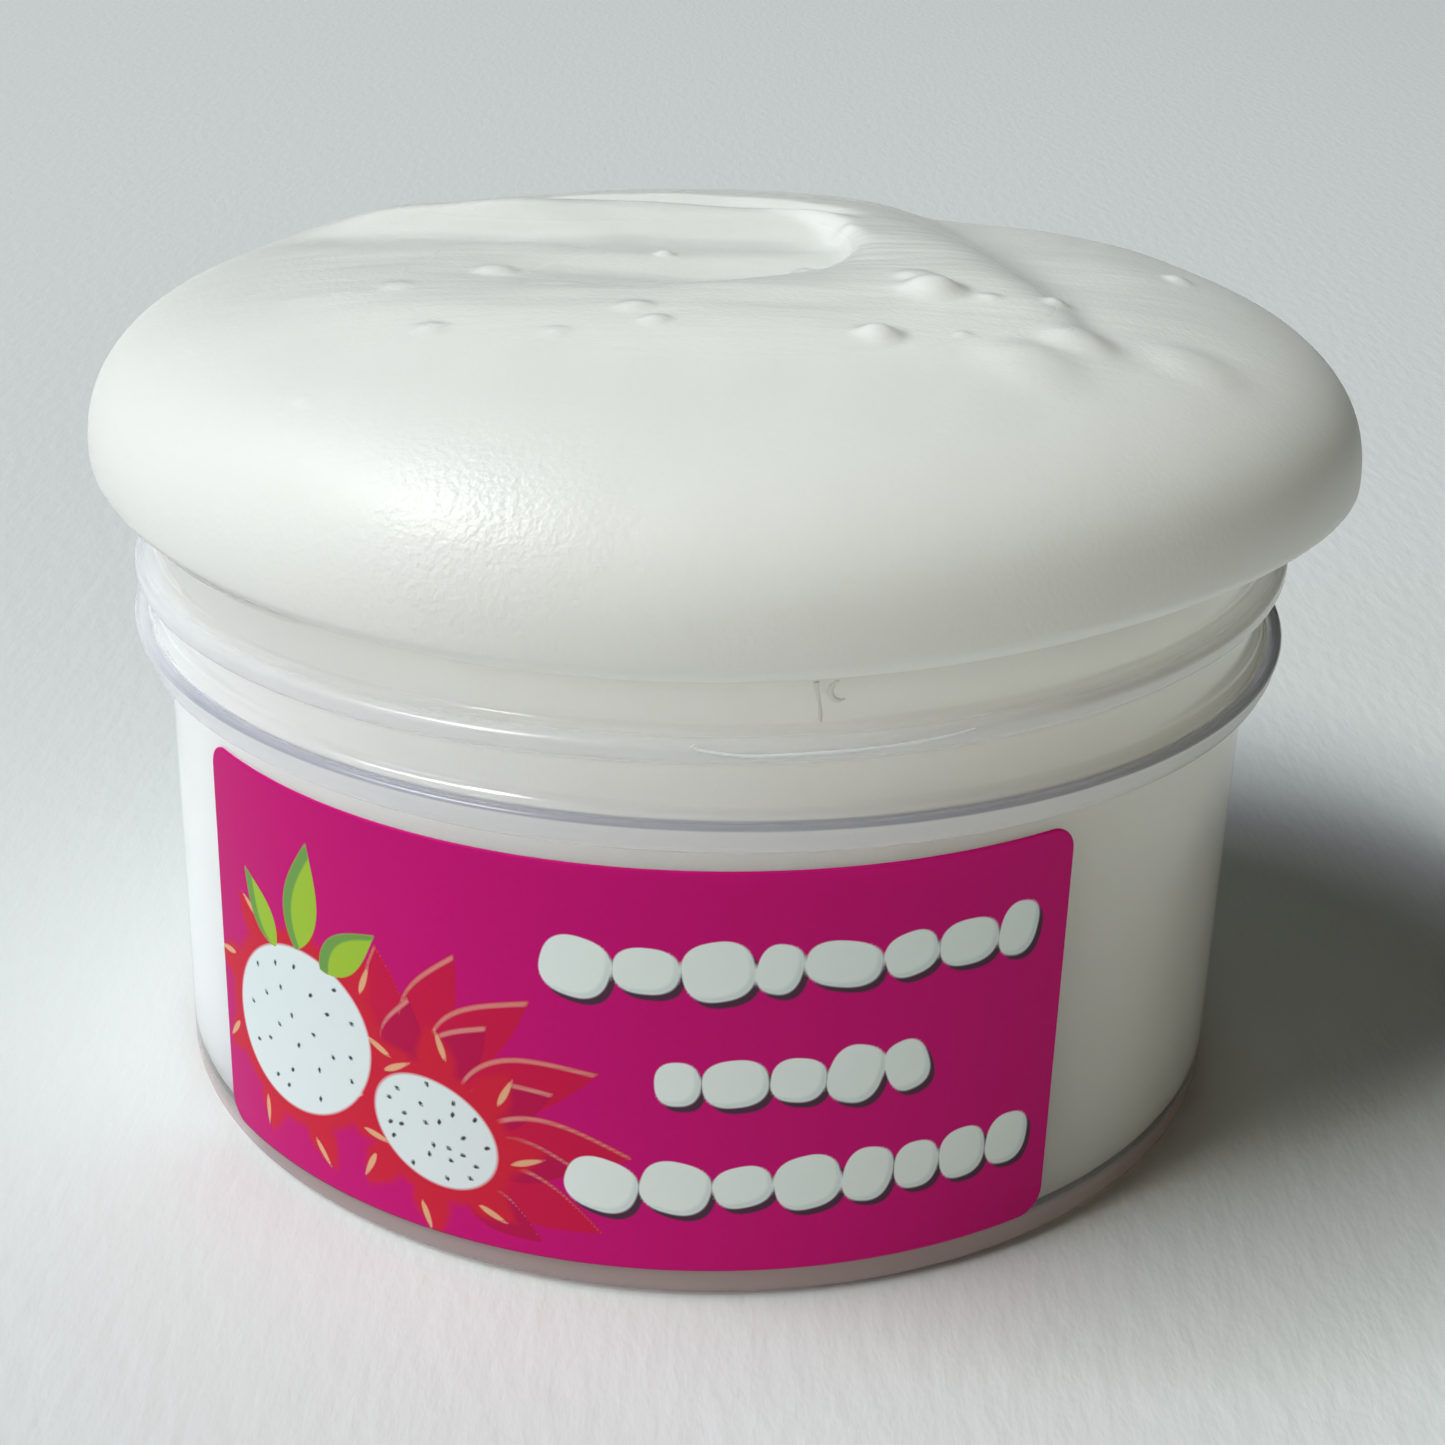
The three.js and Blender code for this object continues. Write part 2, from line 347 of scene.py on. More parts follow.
def makeBead(line):
    # an ellipse in the (up, outward) plane, half as deep as it is wide, carried along a path on a
    # cylinder whose places are a running mean of the given ones
    given = np.array(line["path"])
    last = len(given) - 1
    along = np.linspace(0, last, bead["stepsPerPoint"] * last + 1)
    azimuth, z, half = [np.interp(along, np.arange(last + 1), column) for column in given.T]
    share = np.ones(bead["smoothing"]) / bead["smoothing"]
    ends = bead["smoothing"] // 2
    padded = [np.pad(row, ends, mode="edge") for row in (azimuth, z)]
    azimuth, z = [np.convolve(row, share, mode="valid") for row in padded]
    course = np.stack([line["radius"] * np.gradient(np.radians(azimuth)), np.gradient(z)], -1)
    course /= np.linalg.norm(course, axis=1)[:, None]
    around = np.linspace(0, 2 * np.pi, bead["sides"], endpoint=False)
    side = half[:, None] * np.cos(around)
    r = line["radius"] + half[:, None] * bead["depthShare"] * np.sin(around)
    turned = np.radians(azimuth)[:, None] - side * course[:, 1:] / line["radius"]
    up = z[:, None] + side * course[:, :1]
    return roundMesh(line["name"], np.stack([r * np.cos(turned), r * np.sin(turned), up], -1))


# marshmallow fluff

fluff = {
    "radius": 47.3,
    "stretch": 2.4,
    "stretchAngle": 26,
    "shiftX": 1.7,
    "shiftY": 0.9,
    "waist": 50.4,
    "waistTilt": -1.5,
    "waistSag": 0.9,
    "waistTwist": -1.1,
    "top": 64.8,
    "shoulderPower": 3.4,
    "crownPower": 2.4,
    "rowPower": 1.6,
    "lipDrop": 1.6,
    "lipIntoNeck": 0.1,
    "reliefDepth": 2,
    "intoWall": 0.15,
    "poleRadius": 2.0,  # the innermost ring of its foot
    "stemHeights": (8, 44),
    "stemRows": 10,
    "columns": 360,
    "crownRows": 225,
    "lipRows": 12,
    "footSteps": 8,
}

# the hollow: a shallow pan in the crown, softly lipped at its front and left, with a sharp right wall
hollow = {
    "x": -4.5,
    "y": 7.2,
    "lengths": (24.0, 15.0),
    "width": 13.2,
    "angle": 17,
    "power": 2.1,
    "depths": (0.8, 1.7),
    "edges": (2.8, 0.3),
    "change": (-16, 8),  # where along it the left's depth and edge turn into the right's
    "backShare": 0.35,
    "backStart": -0.2,  # in widths
    "grooveDepth": 0.4,
    "grooveWidth": 1.4,
    "grooveStart": (-16, 0),
}
# the bank: a broad ridge at the left of the hollow, with a valley along its foot
bank = {
    "x": -25.0,
    "y": 16.8,
    "bow": 0.018,
    "height": 0.7,
    "left": -33,
    "right": -11,
    "fade": 6,
    "frontWidth": 3.2,
    "backWidth": 4.0,
    "valleyX": -29.7,
    "valleyY": 10.5,
    "valleyBow": 0.004,
    "valleyDepth": 0.8,
    "valleyWidth": 4.0,
}
# the lap: the raised lip behind the hollow and the groove that parts it from the back of the crown
lap = {
    "x": -3.0,
    "y": 21.8,
    "bows": (0.0067, 0.026),
    "lipHeight": 0.35,
    "lipOffset": -2.4,
    "lipWidths": (3.8, 1.4),
    "grooveDepth": 0.8,
    "grooveWidth": 1.4,
    "left": -20,
    "right": 9,
    "fade": 4,
}
# the crease: a soft step that runs from back to front over the right of the crown, softer at its back
crease = {
    "x": 23.4,
    "slant": -0.225,
    "drops": (0.6, 2.3),
    "edges": (0.6, 2.3),
    "recovery": 8,
    "front": -17,
    "back": 22,
    "fade": 5,
}
ripples = [
    # slow swells that run across the hollow
    {"x": -3, "y": 3.3, "length": 14.4, "height": 0.38, "slant": 0.05, "reachX": 13, "reachY": 13},
    # fine puckers that run out of the hollow's right wall
    {"x": 14.5, "y": 5.0, "length": 1.7, "height": 0.009, "slant": 0.2, "reachX": 6.5, "reachY": 10},
]
waver = {"share": 0.3, "lengths": 4, "count": 5, "seed": 6}  # how far and how slowly ripples stray
rolls = [  # the slow unevenness of the crown
    {"height": 0.14, "length": 17, "count": 7, "seed": 3},
    {"height": 0.05, "length": 6, "count": 7, "seed": 4},
]
bubblePower = 1.5  # above 1 a bubble is flatter on top and steeper at its side
bubbles = [  # air trapped under the skin: place on the crown, radius and height
    (5.6, -2.4, 1.3, 0.42),
    (7.4, 0.4, 0.9, 0.3),
    (9.8, 11.6, 0.9, 0.25),
    (15.7, -8.5, 2.0, 0.95),
    (14.6, -5.0, 1.4, 0.3),
    (11.2, -19.9, 1.4, 0.65),
    (-16.7, -4.2, 1.4, 0.36),
    (-19.8, -20.0, 1.1, 0.24),
    (-5.8, -15.5, 1.2, 0.24),
    (-4.3, -18.7, 1.0, 0.30),
    (-4.2, 3.7, 0.7, 0.30),
    (24.9, -8.4, 0.9, 0.34),
    (36.2, 5.7, 1.0, 0.34),
    (25.5, -16.8, 2.3, 0.44),
    (21.4, -22.4, 3.2, 0.42),
    (34.0, -16.5, 3.0, 0.38),
    (-27.3, -28.3, 0.5, 0.18),
    (17.1, -18.4, 0.5, 0.15),
    (-32.0, 9.0, 0.5, 0.18),
    (-11.0, -21.0, 0.9, 0.12),
    (19.8, -9.5, 0.8, 0.14),
    (-23.5, -9.0, 1.2, 0.12),
]


def waistAt(angle):
    # the widest ring of the cap: its radius and height at each angle, as low harmonics
    radius = (
        fluff["radius"]
        + fluff["stretch"] * np.cos(2 * (angle - np.radians(fluff["stretchAngle"])))
        + fluff["shiftX"] * np.cos(angle)
        + fluff["shiftY"] * np.sin(angle)
    )
    height = (
        fluff["waist"]
        + fluff["waistTilt"] * np.cos(angle)
        + fluff["waistSag"] * np.cos(2 * angle)
        + fluff["waistTwist"] * np.sin(2 * angle)
    )
    return radius, height


def hollowHeight(x, y):
    # a turned superellipse, long, shallow and soft to its left, deep and sharp to its right and
    # shallower towards its back, with a groove along the front of it
    turn = np.radians(hollow["angle"])
    along = (x - hollow["x"]) * np.cos(turn) + (y - hollow["y"]) * np.sin(turn)
    across = (y - hollow["y"]) * np.cos(turn) - (x - hollow["x"]) * np.sin(turn)
    shape, width = hollow["power"], hollow["width"]
    length = np.where(along < 0, *hollow["lengths"])
    reach = (np.abs(along / length) ** shape + np.abs(across / width) ** shape) ** (1 / shape)
    outside = (reach - 1) * width
    rightward = smooth(along, *hollow["change"])
    backward = smooth(across, hollow["backStart"] * width, width)
    depth = blend(hollow["depths"], rightward) * blend((1, hollow["backShare"]), backward)
    pan = depth * sigmoid(-outside / blend(hollow["edges"], rightward))
    groove = bell(outside, hollow["grooveWidth"]) * smooth(-across, 0, width)
    return -pan - hollow["grooveDepth"] * groove * smooth(along, *hollow["grooveStart"])


def bankHeight(x, y):
    # a bell over a parabola, less a bell along another parabola in front of it
    behind = y - (bank["y"] - bank["bow"] * (x - bank["x"]) ** 2)
    ridge = bell(behind, np.where(behind < 0, bank["frontWidth"], bank["backWidth"]))
    fromValley = y - bank["valleyY"] - bank["valleyBow"] * (x - bank["valleyX"]) ** 2
    valley = bell(fromValley, bank["valleyWidth"])
    ends = span(x, bank["left"], bank["right"], bank["fade"])
    return (bank["height"] * ridge - bank["valleyDepth"] * valley) * ends


def lapHeight(x, y):
    # along a line that bows more on its right: a bell, wide in front and narrow behind, then a groove
    bow = np.where(x < lap["x"], *lap["bows"])
    behind = y - (lap["y"] - bow * (x - lap["x"]) ** 2)
    fromLip = behind - lap["lipOffset"]
    lip = bell(fromLip, np.where(fromLip < 0, *lap["lipWidths"]))
    groove = bell(behind, lap["grooveWidth"])
    ends = span(x, lap["left"], lap["right"], lap["fade"])
    return (lap["lipHeight"] * lip - lap["grooveDepth"] * groove) * ends


def creaseHeight(x, y):
    # a sigmoid step down across a slanted line, deeper and wider towards the back, made up beyond it
    backward = smooth(y, crease["front"], crease["back"])
    past = x - crease["x"] - crease["slant"] * y
    step = blend(crease["drops"], backward) * sigmoid(past / blend(crease["edges"], backward))
    kept = np.exp(-np.maximum(0, past) / crease["recovery"])
    return -step * kept * smooth(y, crease["front"] - crease["fade"], crease["front"] + crease["fade"])


def rippleHeight(ripple, x, y):
    # a cosine across slanted lines that waver a little, inside a soft-edged box
    length = ripple["length"]
    stray = waves(x, y, waver["lengths"] * length, waver["count"], waver["seed"])
    across = y - ripple["y"] - ripple["slant"] * (x - ripple["x"]) + waver["share"] * length * stray
    reach = ((x - ripple["x"]) / ripple["reachX"]) ** 4 + ((y - ripple["y"]) / ripple["reachY"]) ** 4
    return ripple["height"] * np.cos(2 * np.pi * across / length) * np.exp(-reach)


def bubbleHeight(x, y):
    # the sum of a round bell at each bubble
    height = np.zeros_like(x)
    for bubbleX, bubbleY, radius, rise in bubbles:
        away = ((x - bubbleX) ** 2 + (y - bubbleY) ** 2) / radius**2
        height += rise * np.exp(-(away**bubblePower))
    return height


def relief(x, y):
    # height over the smooth crown at (x, y): layers, ripples, bubbles and a slow unevenness
    height = hollowHeight(x, y) + bankHeight(x, y) + lapHeight(x, y) + creaseHeight(x, y)
    height += sum(rippleHeight(ripple, x, y) for ripple in ripples) + bubbleHeight(x, y)
    for roll in rolls:
        height += roll["height"] * waves(x, y, roll["length"], roll["count"], roll["seed"])
    return height


def fluffRings(angle):
    # radius and height of each ring, from the foot upwards: the stem that fills the jar, the rolled
    # lip as a quarter ellipse, and the crown, where the height falls from the top to the waist as
    # (1 - q^shoulder)^(1/crown)
    radius, height = waistAt(angle)
    stem = boreRadius + fluff["intoWall"]
    heel = jar["innerHeelRadius"]
    sole = (boreRadius - heel, jar["floor"] + heel, heel + fluff["intoWall"])
    foot = arcPoints(*sole, -90, 0, fluff["footSteps"])
    level = [(fluff["poleRadius"], foot[0, 1]), *foot]
    level += [(stem, z) for z in np.linspace(*fluff["stemHeights"], fluff["stemRows"])]
    rings = [(np.full_like(angle, r), np.full_like(angle, z)) for r, z in level]
    rings.append((np.full_like(angle, stem), height - fluff["lipDrop"]))
    skirt = jar["neckRadius"] - fluff["lipIntoNeck"]
    for a in np.radians(np.linspace(90, 0, fluff["lipRows"], endpoint=False)):
        rings.append((skirt + (radius - skirt) * np.cos(a), height - fluff["lipDrop"] * np.sin(a)))
    for v in np.linspace(1, 0, fluff["crownRows"], endpoint=False):
        q = 1 - (1 - v) ** fluff["rowPower"]
        lift = (1 - q ** fluff["shoulderPower"]) ** (1 / fluff["crownPower"])
        rings.append((radius * q, height + (fluff["top"] - height) * lift))
    return np.array(rings).transpose(1, 0, 2)


def makeFluffMound():
    # the rings round the axis, with the relief added where the crown is high enough
    angle = np.linspace(0, 2 * np.pi, fluff["columns"], endpoint=False)
    r, z = fluffRings(angle)
    x, y = r * np.cos(angle), r * np.sin(angle)
    onCrown = smooth(z, fluff["waist"], fluff["top"] - fluff["reliefDepth"])
    onCrown[: -fluff["crownRows"]] = 0
    return roundMesh("fluffMound", np.stack([x, y, z + relief(x, y) * onCrown], -1))


# label

label = {
    "width": 69.4,
    "height": 31.75,
    "bottom": 2.35,
    "centreAngle": -100.0,
    "tilt": 0.4,
    "cornerRadius": 2.0,
    "thickness": 0.12,
    "gap": 0.1,
    "columnStep": 0.22,
    "rows": 140,
    "cornerSteps": 14,
}

# the print, in mm from the label's middle (across) and its lower edge (up)
slices = [  # round cuts of pitaya
    {"across": -24.4, "up": 12.2, "radius": 7.7, "flatten": 0.86, "turn": 28, "flakes": 9},
    {"across": -11.6, "up": 8.4, "radius": 5.2, "flatten": 0.8, "turn": -24, "flakes": 8},
]
rind = {"margin": 1.3, "start": 0.3, "length": 4.8, "width": 3.2, "lean": 24}  # flakes round a cut
tip = {"out": 2.0, "length": 2.8, "width": 0.5, "lean": 30}  # the pale line on each of them
seed = {"halfLength": 0.26, "halfWidth": 0.17, "turnSpread": 0.3, "ringSpread": 0.07}
seedRings = ((0.24, 4), (0.54, 8), (0.82, 12))  # share of the cut's radius, seeds on the ring
leaves = [  # across, up, length, width, direction
    (-24.2, 19.0, 9.2, 3.6, 80),
    (-21.6, 18.4, 7.0, 3.0, 40),
    (-26.6, 18.2, 6.4, 2.6, 126),
]
outerPetals = [  # loose red flakes: across, up, length, width, direction
    (-15.4, 14.0, 8.4, 4.0, 96),
    (-13.6, 14.6, 9.6, 4.2, 66),
    (-12.0, 14.2, 10.4, 4.4, 40),
    (-9.6, 12.4, 11.0, 4.6, 18),
    (-8.0, 9.6, 11.4, 4.4, -2),
    (-8.4, 6.6, 10.4, 4.2, -22),
]
innerPetals = [  # deeper red ones over them
    (-14.6, 12.6, 6.4, 3.8, 80),
    (-12.0, 12.6, 7.4, 4.0, 50),
    (-9.4, 10.6, 7.8, 4.0, 24),
    (-8.2, 7.8, 7.8, 3.8, 0),
    (-9.4, 4.8, 7.2, 3.4, -30),
]
puffRows = [  # rows of little marshmallows, from the first one's place along a slope
    {"across": -3.4, "up": 24.0, "count": 8, "slope": 1.5},
    {"across": 4.6, "up": 15.4, "count": 5, "slope": 1.5},
    {"across": -1.6, "up": 6.8, "count": 8, "slope": 1.5},
]
puff = {"widths": (3.0, 5.4), "heights": (3.3, 4.7), "gap": 0.15, "power": 2.5, "turnSpread": 20}
shifts = {  # how far a copy of a shape moves to lay an edge or a shadow bare: across, up
    "inkEdge": (0.14, -0.5),
    "inkLeafDark": (0.9, -0.2),
    "inkShade": (0.42, -0.5),
    "inkPuffShade": (-0.32, 0.32),
}
edgeThinning = 0.09
leafPower = 0.75  # below 1 a leaf is widest nearer its root
drawSeed = 11


def turnedPlace(u, v, across, up, turn):
    # (u, v) as seen from (across, up) along a direction and square to it
    c, s = np.cos(np.radians(turn)), np.sin(np.radians(turn))
    return (u - across) * c + (v - up) * s, (v - up) * c - (u - across) * s


def ellipseDepth(u, v, across, up, halfWidth, halfHeight, turn=0.0, power=2.0):
    # about how far (u, v) lies inside a turned superellipse
    x, y = turnedPlace(u, v, across, up, turn)
    reach = (np.abs(x / halfWidth) ** power + np.abs(y / halfHeight) ** power) ** (1 / power)
    return (1 - reach) * min(halfWidth, halfHeight)


def flakeDepth(u, v, across, up, length, width, direction):
    # about how far (u, v) lies inside a pointed leaf that starts at (across, up): its half width
    # follows a sine of a power of the share along it
    x, y = turnedPlace(u, v, across, up, direction)
    half = width / 2 * np.sin(np.pi * np.clip(x / length, 0, 1) ** leafPower)
    return np.minimum(half - np.abs(y), np.minimum(x, length - x))


def deepest(shape, items, u, v):
    # how far (u, v) lies inside the union of shapes
    return np.maximum.reduce([shape(u, v, *item) for item in items])


def crescentDepth(shape, items, shift, u, v):
    # the same for the part of each shape that its shifted copy leaves bare
    moved = u - shift[0], v - shift[1]
    return np.maximum.reduce([np.minimum(shape(u, v, *item), -shape(*moved, *item)) for item in items])


def drawSeeds(cut, draw):
    # seeds on rings in a cut, evenly round and then moved a little, each lying along its radius
    turn = np.radians(cut["turn"])
    seeds = []
    for ring, count in seedRings:
        for i in range(count):
            a = np.radians(360 * (i + draw.uniform(-seed["turnSpread"], seed["turnSpread"])) / count)
            spread = cut["radius"] * (ring + draw.uniform(-seed["ringSpread"], seed["ringSpread"]))
            x, y = spread * np.cos(a), spread * cut["flatten"] * np.sin(a)
            across = cut["across"] + x * np.cos(turn) - y * np.sin(turn)
            up = cut["up"] + x * np.sin(turn) + y * np.cos(turn)
            seeds.append((across, up, seed["halfLength"], seed["halfWidth"], np.degrees(a)))
    return seeds


def rindFlakes(cut):
    # flakes that lean out evenly round a cut, and a thin pale line near the end of each
    flat = cut["radius"] * cut["flatten"]
    flakes, tips = [], []
    for i in range(cut["flakes"]):
        direction = cut["turn"] + 360 * (i + rind["start"]) / cut["flakes"]
        across, up = np.cos(np.radians(direction)), np.sin(np.radians(direction))
        root = (cut["across"] + flat * across, cut["up"] + flat * up)
        flakes.append((*root, rind["length"], rind["width"], direction + rind["lean"]))
        start = (root[0] + tip["out"] * across, root[1] + tip["out"] * up)
        tips.append((*start, tip["length"], tip["width"], direction + tip["lean"]))
    return flakes, tips


def drawPuffs(draw):
    # rounded shapes of drawn sizes and turns, side by side along each row's slope
    puffs = []
    for row in puffRows:
        slope = np.radians(row["slope"])
        step = 0.0
        for _ in range(row["count"]):
            width, height = draw.uniform(*puff["widths"]), draw.uniform(*puff["heights"])
            across = row["across"] + (step + width / 2) * np.cos(slope)
            up = row["up"] + step * np.sin(slope)
            turn = draw.uniform(-puff["turnSpread"], puff["turnSpread"])
            puffs.append((across, up, width / 2, height / 2, turn, puff["power"]))
            step += width + puff["gap"]
    return puffs


def cutEllipse(cut, margin=0.0):
    # the outline of a cut, a margin larger: across, up, half width, half height, turn
    flat = cut["radius"] * cut["flatten"]
    return cut["across"], cut["up"], cut["radius"] + margin, flat + margin, cut["turn"]


def printLayers(u, v):
    # one signed depth in mm for each ink: above 0 the ink is there
    draw = np.random.default_rng(drawSeed)
    seeds = [place for cut in slices for place in drawSeeds(cut, draw)]
    puffs = drawPuffs(draw)
    flakes, tips = [sum(parts, []) for parts in zip(*map(rindFlakes, slices))]
    rims = [cutEllipse(cut, rind["margin"]) for cut in slices]
    petals = outerPetals + innerPetals
    shade = shifts["inkShade"]
    return {
        "inkPetal": deepest(flakeDepth, outerPetals, u, v),
        "inkPetalDeep": deepest(flakeDepth, innerPetals, u, v),
        "inkEdge": crescentDepth(flakeDepth, petals, shifts["inkEdge"], u, v) - edgeThinning,
        "inkRind": np.maximum(deepest(ellipseDepth, rims, u, v), deepest(flakeDepth, flakes, u, v)),
        "inkTip": deepest(flakeDepth, tips, u, v),
        "inkFlesh": deepest(ellipseDepth, map(cutEllipse, slices), u, v),
        "inkSeed": deepest(ellipseDepth, seeds, u, v),
        "inkLeaf": deepest(flakeDepth, leaves, u, v),
        "inkLeafDark": crescentDepth(flakeDepth, leaves, shifts["inkLeafDark"], u, v),
        "inkShade": deepest(ellipseDepth, puffs, u - shade[0], v - shade[1]),
        "inkPuff": deepest(ellipseDepth, puffs, u, v),
        "inkPuffShade": crescentDepth(ellipseDepth, puffs, shifts["inkPuffShade"], u, v),
    }


def labelGrid():
    # places on the flat label, (across, up) from its middle and its lower edge: even columns, closer
    # at the round corners, where the rows draw in by the corner's arc
    corner, width, steps = label["cornerRadius"], label["width"], label["cornerSteps"]
    curve = corner * (1 - np.cos(np.pi / 2 * np.arange(steps + 1) / steps))
    straight = width - 2 * corner
    inside = corner + np.linspace(0, straight, int(straight / label["columnStep"]) + 1)[1:-1]
    station = np.concatenate([curve, inside, width - curve[::-1]])
    fromEnd = np.minimum(np.minimum(station, width - station), corner)
    inset = (corner - np.sqrt(np.maximum(0, corner**2 - (corner - fromEnd) ** 2)))[:, None]
    share = np.linspace(0, 1, label["rows"])[None, :]
    up = inset + (label["height"] - 2 * inset) * share
    return np.repeat((station - width / 2)[:, None], label["rows"], 1), up


def makeLabelSheet():
    # two layers of the grid bent round the body, joined by a strip of faces along their edge; the
    # points carry the print's depths and their place on the flat label
    across, up = labelGrid()
    innerRadius = jar["bodyRadius"] + label["gap"]
    angle = np.radians(label["centreAngle"]) + across / innerRadius
    z = label["bottom"] + across * np.tan(np.radians(label["tilt"])) + up
    radii = (innerRadius + label["thickness"], innerRadius)
    points = np.stack([np.stack([r * np.cos(angle), r * np.sin(angle), z], -1) for r in radii]) * mm
    front = np.arange(up.size).reshape(up.shape)
    back = front + up.size
    edge = np.concatenate([front[:-1, 0], front[-1, :-1], front[:0:-1, -1], front[0, :0:-1]])
    following = np.roll(edge, -1)
    faces = [
        np.stack([front[:-1, :-1], front[1:, :-1], front[1:, 1:], front[:-1, 1:]], -1),
        np.stack([back[:-1, :-1], back[:-1, 1:], back[1:, 1:], back[1:, :-1]], -1),
        np.stack([edge, edge + up.size, following + up.size, following], -1),
    ]
    quads = np.concatenate([face.reshape(-1, 4) for face in faces])
    mesh = bpy.data.meshes.new("labelSheet")
    mesh.from_pydata(points.reshape(-1, 3).tolist(), [], quads.tolist())
    mesh.shade_smooth()
    u, v = across.ravel(), up.ravel()
    for name, depth in printLayers(u, v).items():
        attribute = mesh.attributes.new(name, "FLOAT", "POINT")
        attribute.data.foreach_set("value", np.tile(depth, 2).astype(np.float32))
    place = mesh.attributes.new("printPlace", "FLOAT_VECTOR", "POINT")
    flat = np.stack([u, v, np.zeros_like(u)], -1)
    place.data.foreach_set("vector", np.tile(flat, (2, 1)).astype(np.float32).ravel())
    return newObject("labelSheet", mesh)


# materials

plastic = {
    "ior": 1.49,
    "clear": {"body": "#FDFEFF", "passed": "#FDFDFE", "transmission": 0.9, "roughness": 0.14},
    "milky": {"body": "#EEEEF3", "passed": "#DEDEE3", "transmission": 0.5, "roughness": 0.24},
    "thickStart": -0.1,  # from the neck's radius: where the wall starts to look milky
    # painted shade and painted pink reflection of the label: the warmer, darker colour of the base
    "milkyBaseAndPaintedShade": "#E4CCCA",
    "milkyBaseAndPaintedShadeHeights": (3.1, 2.1),  # the base's painted shade and pink reflection come in on the way down, where the base also turns milky
    # painted shade on the collar's top edge
    "ledge": "#ABACBC",
    "ledgeReach": (0.34, 0.22),  # above or below the collar's top
    "ledgeRadii": (44.1, 44.3),
    "ledgeLeft": (-43, -36),  # the painted shade on the ledge is lighter towards its left end, where the window's light falls
    "ledgeLeftShare": 0.15,
}


def makePolypropylene():
    # injection-moulded natural polypropylene: clear where it is thin and milky, a little lilac, where
    # the collar and thread make it thick; its base is warmer and darker as painted shade and the
    # label's painted pink reflection, and painted shade lies on the collar's top edge, lighter towards
    # the window;
    # lamps reach what is behind it, less what it keeps back
    material, tree = newMaterial("moulded natural polypropylene")
    clear, milky = plastic["clear"], plastic["milky"]
    place = addNode(tree, "ShaderNodeTexCoord").outputs["Object"]
    split = addNode(tree, "ShaderNodeSeparateXYZ", {"Vector": place})
    level = addNode(tree, "ShaderNodeVectorMath", {0: place, 1: (1, 1, 0)}, operation="MULTIPLY")
    fromAxis = addNode(tree, "ShaderNodeVectorMath", {0: level.outputs["Vector"]}, operation="LENGTH")
    radius = fromAxis.outputs["Value"]
    thin, full = jar["neckRadius"] + plastic["thickStart"], jar["collarRadius"]
    high, low = plastic["milkyBaseAndPaintedShadeHeights"]
    outward = {"Value": radius, "From Min": thin * mm, "From Max": full * mm}
    downward = {"Value": split.outputs["Z"], "From Min": high * mm, "From Max": low * mm}
    wall, milkyBaseAndPaintedShade = [
        addNode(tree, "ShaderNodeMapRange", ramp, interpolation_type="SMOOTHSTEP").outputs["Result"]
        for ramp in (outward, downward)
    ]
    thick = addNode(tree, "ShaderNodeMath", {0: wall, 1: milkyBaseAndPaintedShade}, operation="MAXIMUM").outputs["Value"]

    above = {0: split.outputs["Z"], 1: jar["collarTop"] * mm}
    above = addNode(tree, "ShaderNodeMath", above, operation="SUBTRACT").outputs["Value"]
    fromLedge = addNode(tree, "ShaderNodeMath", {0: above}, operation="ABSOLUTE").outputs["Value"]
    # painted shade: near the collar's top height, out past the neck's root, lighter towards the left
    # where the window's light falls
    ledgeParts = [
        addNode(
            tree,
            "ShaderNodeMapRange",
            {"Value": value, "From Min": start * mm, "From Max": end * mm, "To Min": least},
        ).outputs["Result"]
        for value, (start, end), least in (
            (fromLedge, plastic["ledgeReach"], 0.0),
            (radius, plastic["ledgeRadii"], 0.0),
            (split.outputs["X"], plastic["ledgeLeft"], plastic["ledgeLeftShare"]),
        )
    ]
    ledge = ledgeParts[0]
    for part in ledgeParts[1:]:
        both = addNode(tree, "ShaderNodeMath", {0: ledge, 1: part}, operation="MULTIPLY")
        ledge = both.outputs["Value"]

    # over the clear colour: milky for thick plastic, painted shade and pink reflection on the base,
    # painted shade on the collar's top edge
    body = linear(clear["body"])
    for share, colour in ((thick, milky["body"]), (milkyBaseAndPaintedShade, plastic["milkyBaseAndPaintedShade"]), (ledge, plastic["ledge"])):
        mix = {"Factor": share, "A": body, "B": linear(colour)}
        body = addNode(tree, "ShaderNodeMix", mix, data_type="RGBA").outputs["Result"]
    mix = {"Factor": thick, "A": linear(clear["passed"]), "B": linear(milky["passed"])}
    passed = addNode(tree, "ShaderNodeMix", mix, data_type="RGBA").outputs["Result"]
    clarity, satin = [
        addNode(tree, "ShaderNodeMapRange", {"Value": thick, "To Min": start, "To Max": end})
        for start, end in ((clear[key], milky[key]) for key in ("transmission", "roughness"))
    ]
    shader = addNode(
        tree,
        "ShaderNodeBsdfPrincipled",
        {
            "Base Color": body,
            "Roughness": satin.outputs["Result"],
            "IOR": plastic["ior"],
            "Transmission Weight": clarity.outputs["Result"],
        },
    ).outputs["BSDF"]
    through = addNode(tree, "ShaderNodeBsdfTransparent", {"Color": passed}).outputs["BSDF"]
    shadow = addNode(tree, "ShaderNodeLightPath").outputs["Is Shadow Ray"]
    both = addNode(tree, "ShaderNodeMixShader", {0: shadow, 1: shader, 2: through})
    addNode(tree, "ShaderNodeOutputMaterial", {"Surface": both.outputs["Shader"]})
    return material


